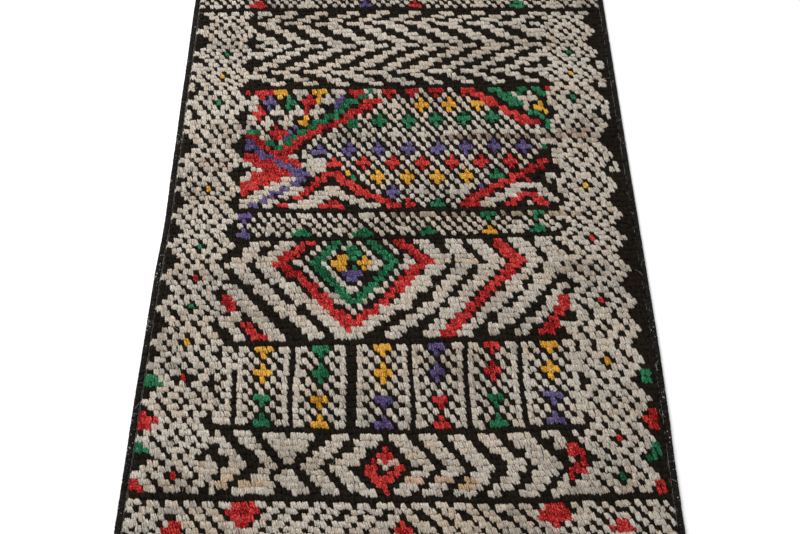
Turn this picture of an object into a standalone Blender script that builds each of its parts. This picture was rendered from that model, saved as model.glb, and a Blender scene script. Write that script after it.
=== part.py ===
"""A small hand-knotted wool rug: one flat pile body with a woven hem at each end,
and an overcast selvedge cord along each long side.

Metres, +Z up. The rug lies on z = 0 with its length along Y, centred over the origin.
The near end is at -Y.
"""

import math

import bmesh
import bpy

COLLECTION_NAME = "moroccan_rug"

# Driving sizes, in metres.
RUG_WIDTH = 1.056
RUG_LENGTH = 1.650
PILE_TOP = 0.012
PILE_ROUNDING = 0.003
PILE_ROUNDING_STEPS = 3
HEM_LENGTH = 0.012
HEM_THICKNESS = 0.004
HEM_RISER = 0.0015
SELVEDGE_WIDTH = 0.013
SELVEDGE_HEIGHT = 0.009
SEAM_GAP = 0.0003

# The selvedge swells a little where its yarn is drawn less tightly.
SWELL_SHARE = 0.05
SWELL_LENGTH = 0.113

SLICE_PITCH = 0.030
CORD_STEPS = 2
MM = 0.001

# How far each side draws in from the straight side of the rug's box, by place along the length.
# Columns: y in metres, left draw-in in millimetres, right draw-in in millimetres.
SIDE_TABLE = (
    (0.825, 0.9, 3.7),
    (0.710, 0.0, 3.7),
    (0.429, 3.4, 3.1),
    (0.179, 6.5, 2.7),
    (0.008, 9.2, 1.7),
    (-0.149, 5.1, 0.9),
    (-0.295, 4.6, 0.0),
    (-0.430, 3.7, 1.5),
    (-0.596, 4.4, 5.0),
    (-0.700, 4.6, 5.9),
    (-0.825, 3.6, 5.7),
)

# Columns: side, its direction along X, its column in SIDE_TABLE.
SIDES = (
    ("left", -1, 1),
    ("right", 1, 2),
)

# Columns: material name, base colour, roughness.
WOOL_PILE = ("wool_pile", (0.33, 0.26, 0.21), 0.95)
WOOL_EDGE = ("wool_edge", (0.030, 0.026, 0.024), 0.92)


def clear_scene():
    for thing in list(bpy.data.objects):
        bpy.data.objects.remove(thing, do_unlink=True)


def make_collection(name):
    collection = bpy.data.collections.new(name)
    bpy.context.scene.collection.children.link(collection)
    return collection


def make_material(name, colour, roughness):
    material = bpy.data.materials.new(name)
    material.use_nodes = True
    shader = material.node_tree.nodes["Principled BSDF"]
    shader.inputs["Base Color"].default_value = (*colour, 1.0)
    shader.inputs["Roughness"].default_value = roughness
    shader.inputs["Metallic"].default_value = 0.0
    material.diffuse_color = (*colour, 1.0)
    return material


def draw_in(y, column):
    """How far a side stands in from the box at y, eased between the rows of SIDE_TABLE."""
    for upper, lower in zip(SIDE_TABLE, SIDE_TABLE[1:]):
        if y >= lower[0]:
            share = min(1.0, (upper[0] - y) / (upper[0] - lower[0]))
            eased = share * share * (3.0 - 2.0 * share)
            return (upper[column] + (lower[column] - upper[column]) * eased) * MM
    return SIDE_TABLE[-1][column] * MM


def outer_x(y, direction, column):
    """X of the rug's outer side at y."""
    return direction * (RUG_WIDTH / 2 - draw_in(y, column))


def slice_places():
    """Y of each cross-section between the ends: both risers of the hems, and even steps between."""
    pile_end = RUG_LENGTH / 2 - HEM_LENGTH - HEM_RISER
    count = round(2 * pile_end / SLICE_PITCH)
    even = [-pile_end + 2 * pile_end * i / count for i in range(count + 1)]
    hem_start = RUG_LENGTH / 2 - HEM_LENGTH
    return [-hem_start] + even + [hem_start]


def top_height(y):
    """Height of the top at y: the pile's, or the thin hem's past its riser."""
    on_hem = abs(y) > RUG_LENGTH / 2 - HEM_LENGTH - HEM_RISER / 2
    return HEM_THICKNESS if on_hem else PILE_TOP


def shape_body(mesh_data):
    """Moves each cross-section of the sliced block out to the sides and up to its height."""
    inner = SELVEDGE_WIDTH + SEAM_GAP
    for vertex in mesh_data.verts:
        side = SIDES[0] if vertex.co.x < 0 else SIDES[1]
        y = vertex.co.y
        vertex.co.x = outer_x(y, side[1], side[2]) - side[1] * inner
        vertex.co.z = top_height(y) if vertex.co.z > 0 else 0.0


def weight_pile_rim(mesh_data):
    """Marks the rim of the pile, which wear and clipping leave rounded."""
    weights = mesh_data.edges.layers.float.new("bevel_weight_edge")
    for edge in mesh_data.edges:
        high = all(v.co.z > PILE_TOP - SEAM_GAP for v in edge.verts)
        on_rim = high and edge.calc_face_angle(0.0) > math.radians(30)
        edge[weights] = 1.0 if on_rim else 0.0


def make_body(collection, material):
    data = bpy.data.meshes.new("rug_body")
    shape = bmesh.new()
    bmesh.ops.create_cube(shape, size=1.0)
    bmesh.ops.scale(shape, vec=(RUG_WIDTH, RUG_LENGTH, PILE_TOP), verts=shape.verts)
    for y in slice_places():
        geometry = shape.verts[:] + shape.edges[:] + shape.faces[:]
        bmesh.ops.bisect_plane(shape, geom=geometry, plane_co=(0, y, 0), plane_no=(0, 1, 0))
    shape_body(shape)
    weight_pile_rim(shape)
    shape.to_mesh(data)
    shape.free()
    body = bpy.data.objects.new("rug_body", data)
    collection.objects.link(body)
    data.materials.append(material)
    rounding = body.modifiers.new("pile_rounding", "BEVEL")
    rounding.limit_method = "WEIGHT"
    rounding.width = PILE_ROUNDING
    rounding.segments = PILE_ROUNDING_STEPS
    return body


def swell(y, phase):
    """Share of its full width that the selvedge has at y, never above 1."""
    wave = math.sin(2 * math.pi * y / SWELL_LENGTH + phase)
    slow = math.sin(2 * math.pi * y / (SWELL_LENGTH * 3.7) + 2 * phase)
    return 1.0 - SWELL_SHARE * (0.5 - 0.3 * wave - 0.2 * slow)


def make_selvedge(collection, material, side, direction, column):
    """A flattened cord that follows the rug's side from end to end."""
    curve = bpy.data.curves.new("selvedge_" + side, "CURVE")
    curve.dimensions = "3D"
    curve.bevel_depth = SELVEDGE_WIDTH / 2
    curve.bevel_resolution = CORD_STEPS
    curve.use_fill_caps = True
    places = [-RUG_LENGTH / 2] + slice_places() + [RUG_LENGTH / 2]
    spline = curve.splines.new("POLY")
    spline.points.add(len(places) - 1)
    for point, y in zip(spline.points, places):
        x = outer_x(y, direction, column) - direction * SELVEDGE_WIDTH / 2
        point.co = (x, y, 0.0, 1.0)
        point.radius = swell(y, column)
    cord = bpy.data.objects.new("selvedge_" + side, curve)
    collection.objects.link(cord)
    curve.materials.append(material)
    cord.location.z = SELVEDGE_HEIGHT / 2
    cord.scale.z = SELVEDGE_HEIGHT / SELVEDGE_WIDTH
    return cord


def make_rug():
    clear_scene()
    collection = make_collection(COLLECTION_NAME)
    make_body(collection, make_material(*WOOL_PILE))
    edge_material = make_material(*WOOL_EDGE)
    for side, direction, column in SIDES:
        make_selvedge(collection, edge_material, side, direction, column)


make_rug()
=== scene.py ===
"""A small hand-knotted wool rug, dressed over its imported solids.

The pattern is drawn on a grid of knots by small functions and short tables: borders of nested
diamonds, a herringbone, a diamond lattice, nested chevrons, rows of checks.
Each knot then gets a few strands of yarn that rise from the woven foundation and bend towards
the near end, and the two long edges get their wound selvedges.
"""

import math  # noqa: E402
from functools import partial  # noqa: E402

import bpy  # noqa: E402
import numpy as np  # noqa: E402
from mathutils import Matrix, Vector  # noqa: E402


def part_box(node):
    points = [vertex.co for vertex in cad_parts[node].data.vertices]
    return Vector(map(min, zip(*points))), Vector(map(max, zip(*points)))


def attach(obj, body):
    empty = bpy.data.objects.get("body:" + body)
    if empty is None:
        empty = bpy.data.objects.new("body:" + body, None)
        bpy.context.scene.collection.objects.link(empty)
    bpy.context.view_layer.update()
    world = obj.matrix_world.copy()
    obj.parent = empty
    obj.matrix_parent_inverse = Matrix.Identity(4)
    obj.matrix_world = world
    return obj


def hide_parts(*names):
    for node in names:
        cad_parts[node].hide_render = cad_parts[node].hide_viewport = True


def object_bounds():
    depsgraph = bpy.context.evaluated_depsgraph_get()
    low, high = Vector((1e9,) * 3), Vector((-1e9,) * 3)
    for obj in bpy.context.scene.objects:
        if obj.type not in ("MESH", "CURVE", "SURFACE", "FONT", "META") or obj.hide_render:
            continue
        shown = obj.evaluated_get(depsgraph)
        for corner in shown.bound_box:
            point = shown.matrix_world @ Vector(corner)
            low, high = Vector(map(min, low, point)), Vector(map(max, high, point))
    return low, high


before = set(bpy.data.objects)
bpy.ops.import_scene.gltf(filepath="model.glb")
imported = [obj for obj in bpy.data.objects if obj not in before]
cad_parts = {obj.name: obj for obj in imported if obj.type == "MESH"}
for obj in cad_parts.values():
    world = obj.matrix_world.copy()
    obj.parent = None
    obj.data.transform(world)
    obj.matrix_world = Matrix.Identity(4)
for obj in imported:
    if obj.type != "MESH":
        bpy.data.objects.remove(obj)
cad_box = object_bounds()

MM = 0.001

# The knots. Rows are counted from the far edge of the photograph's view, so the rows hidden past
# it have numbers below zero.
KNOTS_ACROSS = 90
# Bare foundation between the outermost knots and the body's sides, in knots: left, right.
BARE_EDGES = (0.45, 0.35)
ROWS_ABOVE = 9
ROWS_SHOWN = 105
ROWS_BELOW = 9
ROW_COUNT = ROWS_ABOVE + ROWS_SHOWN + ROWS_BELOW
# Columns of knots between the side borders, and from side to side.
FIELD = (13, 76)
WHOLE = (0, KNOTS_ACROSS)
# Knots by which the ends of a slanting line's rows stray.
RAGGED = 0.16
# The cloth round the knots, in metres, and the rows of the sheet in each hem.
FOUNDATION_THICKNESS = 0.0036
SELVEDGE_WIDTH = 0.013
HEM_LENGTH = 0.0135
HEM_ROWS = 3

# Bands down the rug. Columns: name, rows of knots, height of the band in millimetres.
BANDS = (
    ("far_plain", 6, 70.0),
    ("far_checks", 5, 62.6),
    ("guard_1", 1, 14.6),
    ("herringbone", 20, 251.0),
    ("guard_2", 1, 13.0),
    ("lattice", 25, 356.2),
    ("guard_3", 1, 14.6),
    ("fine_checks", 5, 60.7),
    ("guard_4", 1, 13.0),
    ("wide_diamond", 18, 243.7),
    ("guard_5", 1, 16.2),
    ("columns", 13, 183.0),
    ("guard_6", 1, 13.8),
    ("chevrons", 10, 126.2),
    ("guard_7", 1, 14.6),
    ("near_checks", 8, 91.2),
    ("near_plain", 6, 78.2),
)

# How far the rows of knots run off square and the columns off straight.
# Columns: row, then millimetres at each of these places across the rug.
OFF_SQUARE_PLACES = (6, 22, 44, 66, 82)
# Millimetres nearer.
ROW_SLANTS = (
    (-9, 0, 0, 0, 0, 0), (2, 3, 2, 1, 1, 2), (23, 9, 6, 2, -2, -5), (25, 12, 10, 4, -1, -3),
    (30, 15, 18, 10, -1, -2), (36, 15, 20, 11, 0, -2), (39, 14, 16, 10, 5, -1),
    (45, 13, 10, 8, 4, 0), (49, 5, 3, 1, -1, -2), (55, 10, 7, 1, -3, -10),
    (62, 10, 4, -4, -7, -14), (68, 1, 3, -1, -7, -15), (74, 3, 5, 0, -7, -17),
    (79, -4, -2, -2, -7, -16), (88, -12, -4, 0, -4, -13), (93, -14, -4, 0, -2, -11),
    (99, -13, -7, -4, -4, -10), (104, -4, -4, -2, -4, -8), (114, 0, 0, 0, 0, 0),
)
# Millimetres to the right.
COLUMN_DRIFTS = (
    (-9, 0, 0, 0, 0, 0), (1, -2, -4, 1, 1, 3), (6, 7, 0, 2, 2, 5), (14, 6, 0, 2, 2, 5),
    (24, 5, 1, 2, -3, 7), (31, 3, -3, 1, -4, 6), (38, 0, 0, 1, -5, 5), (51, -4, -9, -2, -3, 4),
    (60, -1, -8, -6, -4, 6), (68, -2, -6, -3, -2, 9), (79, 0, 3, 3, -6, 6), (87, 2, 6, 9, 1, 8),
    (90, 2, 3, 3, 1, 8), (99, 3, -1, 0, -1, 7), (114, 0, 0, 0, 0, 0),
)

BLACK, CREAM, RED, GREEN, GOLD, VIOLET = range(6)
YARN_LETTERS = {"k": BLACK, "w": CREAM, "r": RED, "g": GREEN, "y": GOLD, "v": VIOLET}

# Columns: yarn name, colour, the painted highlight colour of its lit fibres, the record's slot.
YARNS = (
    ("black", (0.0078, 0.0052, 0.0028), (0.0170, 0.0120, 0.0070), "black_wool"),
    ("cream", (0.452, 0.408, 0.346), (0.65, 0.60, 0.53), "cream_wool"),
    ("red", (0.250, 0.0020, 0.0040), (0.82, 0.096, 0.084), "red_wool"),
    ("green", (0.0065, 0.084, 0.031), (0.060, 0.310, 0.160), "green_wool"),
    ("gold", (0.500, 0.225, 0.018), (0.86, 0.54, 0.110), "gold_wool"),
    ("violet", (0.060, 0.042, 0.128), (0.220, 0.190, 0.370), "violet_wool"),
)

rng = np.random.default_rng(41)
chart = np.full((ROW_COUNT, KNOTS_ACROSS), BLACK)


# The pattern. Places are counted in knots: 13.5 is the middle of the fourteenth knot of a row.


def paint(row, start, end, yarn, within=FIELD, ragged=0.0):
    """Ties the knots of one row whose middles lie between start and end."""
    if not -ROWS_ABOVE <= row < ROWS_SHOWN + ROWS_BELOW:
        return
    start += rng.normal(0, 1) * ragged
    end += rng.normal(0, 1) * ragged
    low = max(within[0], math.ceil(start - 0.5))
    high = min(within[1], math.ceil(end - 0.5))
    if high > low:
        chart[row + ROWS_ABOVE, low:high] = yarn


def stroke(yarn, width, places, within=FIELD, ragged=RAGGED):
    """A slanting line through places, each (across, row), as wide as width on every row."""
    places = sorted(places, key=lambda place: place[1])
    acrosses = [place[0] for place in places]
    rows = [place[1] for place in places]
    for row in range(math.ceil(rows[0] - 0.51), math.floor(rows[-1] - 0.49) + 1):
        middle = np.interp(row + 0.5, rows, acrosses)
        paint(row, middle - width / 2, middle + width / 2, yarn, within, ragged)


def motifs(table, within=FIELD):
    """Small motifs by yarn: a middle across, a first row, then how wide each row is."""
    for yarn, *marks in table:
        for across, row, *widths in marks:
            for step, width in enumerate(widths):
                paint(row + step, across - width / 2, across + width / 2, yarn, within)


def strokes(table, within=FIELD):
    """Slanting lines: yarn, width, then places as (across, row)."""
    for yarn, width, *places in table:
        stroke(yarn, width, places, within)


def checks(rows, parts):
    """Single knots of cream on black, like a chequerboard.

    Each part is its first column, the column past its last, and 1 where a cream knot stands on
    even rows in odd columns or 0 where it stands in even ones: the weaver changed step there.
    """
    for start, end, step in parts:
        for row in rows:
            for across in range(start, end):
                if (row + across) % 2 == step:
                    chart[row + ROWS_ABOVE, across] = CREAM


# Nested diamonds of the two side borders: rows of their middles, and the middles' yarns in turn.
LEFT_DIAMONDS = (*range(2, 75, 6), 78, 84, 90, 96, 101)
RIGHT_DIAMONDS = (*range(2, 69, 6), 73, 78, 84, 90, 96, 101)
LEFT_DIAMOND_YARNS = "wwgygwwywgrgywwwrw"
RIGHT_DIAMOND_YARNS = "wwgygwwywrwrwywrgw"
LEFT_BORDER = (0, 13)
RIGHT_BORDER = (75, 90)
LEFT_MIDDLE = 6
RIGHT_MIDDLE = 81
BORDER_ROWS = range(3, 99)
# What lies at each whole step of distance from a diamond's middle.
DIAMOND_STEPS = (None, BLACK, CREAM, CREAM, BLACK, CREAM, CREAM)

# Small motifs in the notches at the outer edge of each border. Here and below, each yarn is
# followed by its motifs. Columns: middle across, first row, then the widths of its rows.
LEFT_NOTCHES = (
    (CREAM, (0.8, 17, 1.6, 2.2), (0.6, 22, 1.2, 1.8), (0.5, 28, 1.2, 1.2, 2.2),
     (0.9, 40, 1.4, 2.2)),
    (GREEN, (1, 80, 2), (1.4, 81, 2.6), (0.6, 91, 1), (1.1, 92, 1.6)),
    (RED, (0.6, 86, 1), (1.4, 87, 2.6), (1, 88, 1.8), (0.7, 97, 1.2), (1, 98, 1.6)),
)
RIGHT_NOTCHES = (
    (CREAM, (87.9, 17, 2.2, 1.6), (88, 21, 1, 2, 1.2), (88.2, 27, 1, 1.8, 2.6, 1),
     (88.2, 40, 1.2, 2.6)),
    (GREEN, (88, 80, 1.6, 2.6), (87.8, 91, 1.6, 1.6), (87, 93, 1.2)),
    (RED, (88, 86, 2.2, 3, 1.8), (88, 97, 1.4, 2.2)),
)
# Changes to the borders' diamonds and inner edges.
BORDER_MOTIFS = (
    (BLACK, (6.5, 80, 3)),
    (RED, (6.5, 80, 1), (12.6, 24, 1.4), (76.4, 24, 1.6)),
    (CREAM, (76, 35, 2.4), (76.2, 38, 3)),
)


def diamond_border(within, middle, rows, letters):
    """Rings of knots round a line of middles, so that each ring meets the next diamond's."""
    for row in BORDER_ROWS:
        nearest, letter = min(zip(rows, letters), key=lambda diamond: abs(diamond[0] - row))
        for across in range(*within):
            distance = abs(across - middle) + abs(row - nearest)
            step = DIAMOND_STEPS[distance] if distance < len(DIAMOND_STEPS) else BLACK
            chart[row + ROWS_ABOVE, across] = step if distance else YARN_LETTERS[letter]


# The herringbone: one zigzag line, then the same line again every HERRINGBONE_PITCH knots.
HERRINGBONE_PITCH = 6.85
HERRINGBONE_WIDTH = 3.2
# How far a spur stands out of each inner bend, and which way.
HERRINGBONE_SPUR = 1.3
HERRINGBONE_WAYS = (-1, 1, -1)
HERRINGBONE_REPEATS = range(-4, 9)
HERRINGBONE_LINE = ((28.8, 3.0), (21.8, 6.5), (32.2, 12.6), (19.7, 19.5), (26.4, 23.0))


def herringbone():
    for repeat in HERRINGBONE_REPEATS:
        shift = repeat * HERRINGBONE_PITCH
        line = [(across + shift, row) for across, row in HERRINGBONE_LINE]
        stroke(CREAM, HERRINGBONE_WIDTH, line)
        for (across, row), way in zip(line[1:4], HERRINGBONE_WAYS):
            far = across + way * (HERRINGBONE_WIDTH / 2 + HERRINGBONE_SPUR)
            paint(math.floor(row), min(across, far), max(across, far), CREAM)


# The lattice of small diamonds. Columns: row of the middles, first column, their yarns in turn.
LATTICE_ROWS = range(24, 49)
LATTICE_START = 24
LATTICE_PITCH = 6
LATTICE_STEPS = (None, None, BLACK, CREAM)
LATTICE = (
    (24, 40, "wrrr"),
    (27, 43, "wyyy"),
    (30, 34, "gggggg"),
    (33, 31, "wwwwwwww"),
    (36, 28, "vvvvvvvv"),
    (39, 31, "rrrrrrr"),
    (42, 34, "kyyyyg"),
    (45, 43, "vwwv"),
    (48, 46, "rgr"),
)


def lattice():
    nodes = []
    for row, first, letters in LATTICE:
        for turn, letter in enumerate(letters):
            nodes.append((row, first + turn * LATTICE_PITCH, YARN_LETTERS[letter]))
    for row in LATTICE_ROWS:
        for across in range(LATTICE_START, FIELD[1]):
            distances = [abs(row - node[0]) + abs(across - node[1]) for node in nodes]
            nearest = int(np.argmin(distances))
            distance = distances[nearest]
            if distance < 2:
                chart[row + ROWS_ABOVE, across] = nodes[nearest][2]
            elif distance < len(LATTICE_STEPS):
                chart[row + ROWS_ABOVE, across] = LATTICE_STEPS[distance]


# Long lines that cut the lattice off. Columns: places as (across, row), from the top down.
UPPER_LEFT_LINE = ((39.4, 26.0), (34.0, 29.5), (25.8, 33.5), (20.0, 37.0))
LOWER_LEFT_LINE = ((32.8, 42.0), (37.4, 45.5), (45.0, 49.0))
UPPER_RIGHT_LINE = ((58.6, 24.0), (74.6, 32.0))
LOWER_RIGHT_LINE = ((76.0, 38.8), (61.6, 46.0), (58.2, 49.0))
LINE_MARGIN = 2.2
# Parts left of the lattice. Columns: first row, row past the last, end across.
CLEARED_LEFT = ((24, 26, 26.5), (37, 43, 29.4))


def clear_beside(line, side):
    """Leaves only black knots on one side of a line of places: -1 to its left, 1 to its right."""
    rows = [place[1] for place in line]
    acrosses = [place[0] for place in line]
    for row in range(math.floor(rows[0]), math.ceil(rows[-1])):
        edge = np.interp(row + 0.5, rows, acrosses) - side * LINE_MARGIN
        start, end = (FIELD[0], edge) if side < 0 else (edge, FIELD[1])
        paint(row, start, end, BLACK)


# Columns: yarn, width, then places as (across, row).
LATTICE_STROKES = (
    (GREEN, 2.7, (35, 26.2), (31.9, 28.5), (21.2, 35)),
    (RED, 3.1, (40, 26), (34.1, 29.5), (25.8, 33.5), (20, 36.8)),
    (VIOLET, 1.2, (33.6, 25), (30.8, 28)),
    (VIOLET, 1.3, (23.6, 31), (21.2, 34)),
    (RED, 2.8, (13.8, 33), (17.4, 35.6), (24.8, 40)),
    (VIOLET, 3.2, (12.9, 34), (16.9, 37), (25.6, 42)),
    (VIOLET, 3.1, (25.6, 41.9), (15.2, 49)),
    (CREAM, 3.1, (23.2, 41.9), (12.6, 49)),
    (CREAM, 2.3, (25.6, 43.9), (18.4, 49)),
    (RED, 2.3, (30.6, 41), (24.2, 47)),
    (RED, 2.5, (30.8, 41), (34.7, 43.5), (37.2, 45.4), (44.4, 49)),
    (RED, 2.8, (58.6, 24), (73.1, 31.9)),
    (GREEN, 2.8, (65, 24), (70.6, 28)),
    (RED, 2.9, (75.1, 39), (61.3, 46), (58.4, 49)),
    (CREAM, 1.2, (68.9, 24.6), (72, 28)),
    (CREAM, 3.2, (69.8, 44), (61.6, 49)),
    (CREAM, 2.8, (71.2, 44), (75.6, 48)),
    (RED, 2.4, (69.8, 46), (66.4, 49)),
    (RED, 2.2, (70.4, 46), (73.6, 49)),
)

LATTICE_MOTIFS = (
    (RED, (15.9, 24, 3.4, 1), (35.7, 24, 3.4, 1.2), (25.5, 25, 1, 2.8, 1.6, 0.9),
     (15.7, 27, 1.2, 3.2, 1.6), (19.9, 31, 1.2, 3.4, 1.6), (14.3, 37, 2.6), (16.2, 38, 6),
     (17.6, 39, 4.8), (19.6, 40, 5.2), (19, 41, 7.4), (18.1, 42, 6.8), (16, 43, 6.4), (15, 44, 4),
     (14, 45, 2), (30.6, 41, 3)),
    (GOLD, (19.7, 24, 3, 1.4), (27.7, 24, 3.2, 1.2, 0.8), (25.3, 29, 1), (25, 30, 2),
     (34.1, 41, 1), (74.4, 27, 1.2), (73.9, 28, 2.2), (75.2, 29, 1.2)),
    (CREAM, (23.5, 24, 2.8, 0.9), (31.5, 24, 3.2, 1.4), (29.7, 25, 1, 2.8),
     (13.8, 25, 1.6, 2.4, 1.8), (19.8, 27, 1, 2.8), (23.4, 27, 1, 2.8), (27.5, 27, 1.6, 3.2, 1.2),
     (14, 29, 1.4, 3), (17.8, 29, 1.4, 3.2), (21.7, 29, 1.8, 2.6), (13.5, 31, 1), (15.5, 31, 1),
     (17.5, 31, 1), (21.6, 31, 0.9), (16.8, 32, 1.2, 2.2), (20.5, 34, 1), (26.5, 35, 1.2),
     (14.1, 39, 2.2), (16, 40, 2), (14.8, 41, 1), (13.8, 42, 2), (23, 37, 2.2), (26.2, 37, 1.8),
     (27.4, 38, 3, 4.6, 3.2, 1.4), (31.4, 44, 2.8, 5.8, 9.2), (27.6, 47, 5.6), (26.6, 48, 6.4),
     (36.5, 47, 3.4), (38.8, 48, 4.4), (57.8, 44, 1.6, 2.8, 1), (72.7, 25, 1.4, 3),
     (71.6, 28, 1.8), (74.6, 42, 2, 1.2), (70.5, 44, 4.6), (70.3, 48, 1)),
    (GREEN, (38.8, 24, 1), (37.3, 25, 2.2), (21.9, 25, 1, 2.4, 1), (14.7, 32, 3.2),
     (18.3, 34, 2.2), (20.1, 35, 1.8), (34.9, 31, 1.8), (35.6, 42, 1.2), (70.9, 24, 2.4, 1),
     (74.2, 24, 2), (74.9, 25, 1.6), (73.3, 29, 2.4), (74.6, 30, 1), (75.4, 31, 1.2, 1.2),
     (74.4, 36, 1.2)),
    (VIOLET, (17.9, 25, 1, 3.2, 1.2)),
    (BLACK, (32, 46, 1.2), (31.5, 40, 3.4), (45.5, 24, 1.2), (46.2, 25, 1)),
    (RED, (32, 47, 2, 5), (42.7, 24, 3.2, 1.2), (47.5, 24, 3, 1.2), (22.2, 48, 1.6),
     (70.5, 43, 1.8), (70.1, 46, 3.6)),
)


def lattice_band():
    lattice()
    for first, last, end in CLEARED_LEFT:
        for row in range(first, last):
            paint(row, FIELD[0], end, BLACK)
    clear_beside(UPPER_LEFT_LINE, -1)
    clear_beside(LOWER_LEFT_LINE, -1)
    clear_beside(UPPER_RIGHT_LINE, 1)
    clear_beside(LOWER_RIGHT_LINE, 1)
    strokes(LATTICE_STROKES)
    motifs(LATTICE_MOTIFS)


# The bands of checks. Columns of the parts: first column, column past the last, step.
FAR_CHECK_ROWS = range(-3, 2)
FINE_CHECK_ROWS = range(50, 55)
NEAR_CHECK_ROWS = range(100, 108)
FAR_CHECK_PARTS = ((0, 44, 1), (44, 62, 0), (62, 76, 1), (76, 90, 0))
FINE_CHECK_PARTS = ((13, 68, 1), (68, 76, 0))
FAR_CHECKS = (
    (CREAM, (3.6, 0, 1.2, 2.8), (25, 0, 1.2, 3), (62.5, 0, 1.2, 3.2), (79.2, 0, 1.2, 3),
     (85, 0, 1.2, 2.2)),
    (RED, (13, 0, 2, 3.4), (48.6, 0, 1.2, 3.2), (13, -3, 3.2, 1.2), (48.6, -3, 3.2, 1.2)),
    (VIOLET, (37.7, 0, 1.2, 3.2), (71.6, -3, 3.2, 1.2)),
    (GREEN, (71.6, 0, 2, 3.2), (25, -3, 3.2, 1.2)),
)
FINE_CHECKS = (
    (VIOLET, (14.3, 50, 3.2, 1.4), (14.3, 53, 1.4, 3.2)),
    (CREAM, (26.4, 50, 3.2, 1.2), (38.2, 50, 3.2, 1.2), (50.8, 50, 3.2, 1.2), (19.4, 53, 2.2, 1.2),
     (33.4, 53, 2.4, 1.2), (45.7, 53, 2, 1.2), (68, 53, 2.2, 1.2)),
    (GREEN, (26, 53, 1.6, 3.4), (38, 53, 1.6, 3.4), (50.4, 53, 1.6, 3.4), (62.4, 50, 2.6, 1.2),
     (71.9, 50, 2.4, 1.2), (71.9, 53, 1.4, 3.2)),
    (GOLD, (62.3, 53, 1.4, 3.4)),
)
NEAR_CHECKS = (
    (RED, (19.1, 100, 4.2, 5.4, 3.2, 1.2), (70.6, 100, 3.4, 5.4, 4.2, 1.4), (7.9, 103, 1.6, 3.2),
     (45.5, 103, 1.6, 3.4), (81.2, 103, 1.6, 3.4)),
)
# The slanting checks of the near band fall away to both sides of a few middles.
# They start NEAR_START knots from a middle and move out by NEAR_STEP a row.
# Columns: middle, first and last place, pitch of the checks, width of a cream one.
NEAR_PARTS = (
    (7.2, 0.0, 19.1, 3.1, 2.1),
    (45.5, 19.1, 70.6, 3.5, 2.35),
    (81.0, 70.6, 90.0, 2.35, 1.45),
)
NEAR_START = 2.0
NEAR_STEP = 1.05


def slanting_checks(rows):
    """Checks a few knots wide whose lines fall away from the near band's middles."""
    for middle, first, last, pitch, cream in NEAR_PARTS:
        for row in rows:
            for across in range(round(first), round(last)):
                away = abs(across + 0.5 - middle) - NEAR_START - (row - rows[0]) * NEAR_STEP
                if away % pitch < cream:
                    chart[row + ROWS_ABOVE, across] = CREAM


# The wide diamond and its nested chevrons. Columns: yarn, width, then places as (across, row).
WIDE_FIELD = (12, 77)
WIDE_LEFT_STROKES = (
    (CREAM, 3.1, (18.1, 56.5), (14.2, 60.4), (29.6, 73.5)),
    (CREAM, 3.3, (23.2, 56.5), (19.1, 60.4), (35.3, 73.5)),
    (RED, 2.6, (27.6, 56.5), (22.5, 60.4), (28.2, 64.5), (36.2, 72.5)),
    (CREAM, 1.3, (30.4, 56.5), (27.4, 59.5), (26, 60.5), (27.2, 61.5), (36.4, 69.5)),
    (GREEN, 1.9, (33, 56.5), (28.6, 60.4), (36.4, 67.5)),
    (CREAM, 1.1, (35.5, 56.5), (30.4, 60.4), (36.2, 65.8)),
    (CREAM, 2.7, (13.5, 64.5), (22.3, 73.5)),
    (RED, 2.3, (12.8, 66.5), (13.3, 67.5), (14, 68.5)),
    (CREAM, 2.1, (14.6, 69.5), (15.3, 70.5)),
    (CREAM, 2, (12.8, 70.5), (13.4, 71.5), (15.8, 73.5)),
    (RED, 2.6, (16.9, 71.5), (19.2, 73.5)),
)
WIDE_RIGHT_STROKES = (
    (GREEN, 1.9, (39.8, 56.5), (44.5, 60.4), (36.4, 67.5)),
    (CREAM, 1.3, (42, 56.5), (47.2, 60.4), (37.2, 68.5)),
    (CREAM, 1.1, (37.3, 56.5), (39.5, 58.5), (41.2, 60.3), (37.1, 64.6)),
    (RED, 2.6, (45.2, 56.5), (50.4, 60.3), (38.2, 70.5), (38, 71.5)),
    (CREAM, 3.3, (49.8, 56.5), (53.5, 60.3), (44.5, 68.5), (36.5, 73.5)),
    (CREAM, 3.1, (54.9, 56.5), (58.4, 60.3), (50.7, 68.5), (43.4, 73.5)),
    (CREAM, 3.4, (59.4, 56.5), (63.9, 60.3), (58.4, 65.5), (53.2, 70.5)),
    (CREAM, 2.6, (53.2, 70.5), (50.4, 73.5)),
    (RED, 2.7, (63.8, 56.5), (67.8, 60.4), (62, 65.5), (53.3, 73.5)),
    (CREAM, 2.8, (67.4, 56.5), (70.9, 60.4), (66, 65.5), (56.6, 73.5)),
    (CREAM, 3.2, (72.1, 56.5), (75, 60.6), (70.3, 65.5), (62, 73.5)),
    (CREAM, 2.2, (74.7, 65.5), (73.2, 67.5), (73, 68.5), (71, 70.3), (67, 73.5)),
    (RED, 2.3, (74.9, 67.5), (75.1, 68.5), (71.6, 73.5)),
    (CREAM, 2.4, (75, 72.5), (75.5, 73.5)),
)
WIDE_MOTIFS = (
    (GREEN, (36.5, 57, 2, 3.8, 2), (36.3, 61, 1.4)),
    (GOLD, (33.8, 59, 2, 3.4, 1.6), (38.5, 59, 1.6, 3.4, 1.4)),
    (VIOLET, (36.2, 62, 3.4, 1.4)),
    (CREAM, (44.5, 68, 6), (35.6, 73, 5)),
)


def wide_diamond():
    strokes(WIDE_LEFT_STROKES, WIDE_FIELD)
    strokes(WIDE_RIGHT_STROKES, WIDE_FIELD)
    motifs(WIDE_MOTIFS)


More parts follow.
